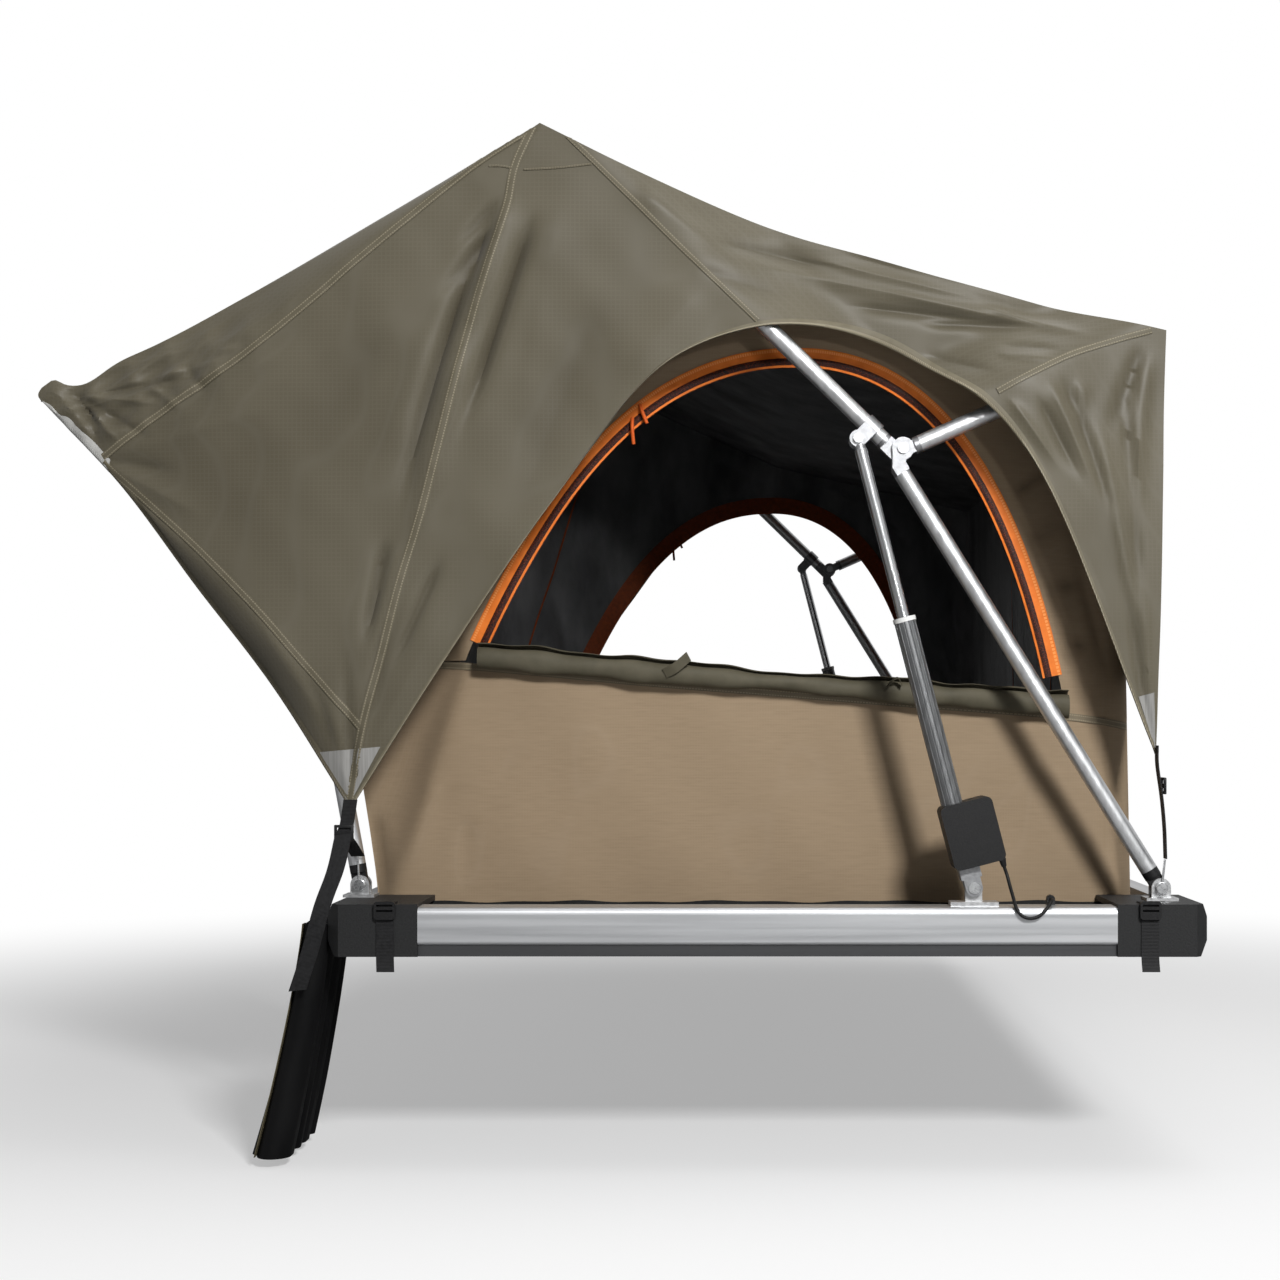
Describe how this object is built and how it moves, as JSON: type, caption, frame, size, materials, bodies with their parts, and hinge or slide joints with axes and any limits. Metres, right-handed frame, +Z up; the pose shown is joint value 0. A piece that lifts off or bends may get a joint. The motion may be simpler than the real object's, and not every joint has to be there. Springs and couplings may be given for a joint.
{
  "type": "roof top tent",
  "caption": "Roof top tent on an aluminium base: folding tube frame lifted by linear actuators, fabric walls with arched windows and a fly sheet with an awning.",
  "frame": {"origin": "centre of the roof bar bolt pattern, on the mounting face under the base", "axes": "+Z up from the roof bars, +Y along the car towards the far end, +X across the car towards the eave side; the awning is at -X"},
  "size_m": [1.6857, 2.4238, 1.4921],
  "materials": {
    "anodised": "satin anodised",
    "floor_board": "mill",
    "tube_alloy": "satin anodised",
    "cast_alloy": "cast and tumbled",
    "actuator_alloy": "fluted, anodised grey",
    "steel": "zinc plated",
    "rod_steel": "polished",
    "black_nylon": "moulded",
    "motor_plastic": "moulded",
    "white_nylon": "moulded",
    "lead_rubber": "sheath",
    "fly_cloth": "coated ripstop",
    "tent_cloth": "canvas",
    "zip_tape": "woven tape",
    "flap_cloth": "canvas",
    "webbing": "woven webbing",
    "cover_cloth": "coated cloth with bound edges",
    "mattress_cloth": "knit cover over foam"
  },
  "bodies": {
    "base": {"floor_panel": "floor_board", "near_rail": "anodised", "far_rail": "anodised", "left_rail": "anodised", "right_rail": "anodised", "corner_caps": "black_nylon", "mounting_channels": "anodised", "leg_brackets": "steel", "bow_brackets": "steel", "actuator_feet": "steel", "leg_pivot_bolts": "steel", "bow_pivot_bolts": "steel", "actuator_pivot_pins": "steel", "mattress": "mattress_cloth", "travel_cover": "cover_cloth", "cap_straps": "webbing", "cap_buckles": "black_nylon", "cable_glands": "black_nylon", "actuator_lead": "lead_rubber", "fly_sheet": "fly_cloth", "tent_walls": "tent_cloth", "window_zips": "zip_tape", "window_flaps": "flap_cloth", "fly_straps": "webbing", "fly_strap_buckles": "black_nylon", "fly_strap_tails": "webbing", "fly_hooks": "steel"},
    "main_legs": {"leg_tubes": "tube_alloy", "leg_foot_plugs": "black_nylon", "leg_knuckles": "cast_alloy", "elbow_pins": "steel"},
    "ridge_bow": {"ridge_tubes": "tube_alloy", "ridge_bar": "tube_alloy", "ridge_knuckles": "cast_alloy", "ridge_corners": "black_nylon", "rod_collars": "cast_alloy"},
    "eave_bow": {"eave_arms": "tube_alloy", "eave_bar": "tube_alloy", "eave_knuckles": "cast_alloy", "eave_corners": "black_nylon"},
    "entrance_bow": {"entrance_legs": "tube_alloy", "entrance_bar": "tube_alloy", "entrance_foot_plugs": "black_nylon", "entrance_corners": "black_nylon", "awning_hinges": "black_nylon", "awning_hinge_pins": "steel"},
    "awning_bow": {"awning_arms": "tube_alloy", "awning_bar": "tube_alloy", "awning_knuckles": "black_nylon", "awning_corners": "black_nylon"},
    "actuators": {"actuator_tubes": "actuator_alloy", "motor_housings": "motor_plastic", "gear_bases": "cast_alloy", "wiper_rings": "white_nylon", "lead_relief": "motor_plastic"},
    "actuator_rods": {"actuator_rods": "rod_steel", "rod_eyes": "steel", "rod_pins": "steel"}
  },
  "joints": [
    {"name": "frame_fold", "type": "hinge", "parent": "base", "child": "main_legs", "pos_m": [0.57, 0, 0.092], "axis": [0, -1, 0], "range_deg": [0, 58.1], "deforming": ["fly_sheet", "tent_walls", "window_zips", "window_flaps", "fly_straps", "fly_strap_buckles", "fly_strap_tails"]},
    {"name": "ridge_fold", "type": "hinge", "parent": "main_legs", "child": "ridge_bow", "pos_m": [0.19688, 0, 0.72739], "axis": [0, -1, 0], "range_deg": [-193.82, 0]},
    {"name": "eave_fold", "type": "hinge", "parent": "main_legs", "child": "eave_bow", "pos_m": [0.19688, 0, 0.72739], "axis": [0, -1, 0], "range_deg": [-81.72, 0]},
    {"name": "entrance_fold", "type": "hinge", "parent": "base", "child": "entrance_bow", "pos_m": [-0.599, 0, 0.092], "axis": [0, -1, 0], "range_deg": [-96.42, 0]},
    {"name": "awning_fold", "type": "hinge", "parent": "entrance_bow", "child": "awning_bow", "pos_m": [-0.75866, 0, 0.80794], "axis": [0, -1, 0], "range_deg": [-79.62, 0]},
    {"name": "actuator_pivot", "type": "hinge", "parent": "base", "child": "actuators", "pos_m": [0.294, 0, 0.0955], "axis": [0, -1, 0], "range_deg": [0, 67.63]},
    {"name": "rod_slide", "type": "slide", "parent": "actuators", "child": "actuator_rods", "axis": [-0.2492, 0, 0.9684], "range_m": [-0.2512, 0]}
  ],
  "couplings": [
    {"joint": "ridge_fold", "follows": "frame_fold", "ratio": -3.3356},
    {"joint": "eave_fold", "follows": "frame_fold", "ratio": -1.4062},
    {"joint": "entrance_fold", "follows": "frame_fold", "ratio": -1.6592},
    {"joint": "awning_fold", "follows": "frame_fold", "ratio": -1.37},
    {"joint": "actuator_pivot", "follows": "frame_fold", "ratio": 1.1637},
    {"joint": "rod_slide", "follows": "frame_fold", "m_per_rad": -0.24723}
  ]
}
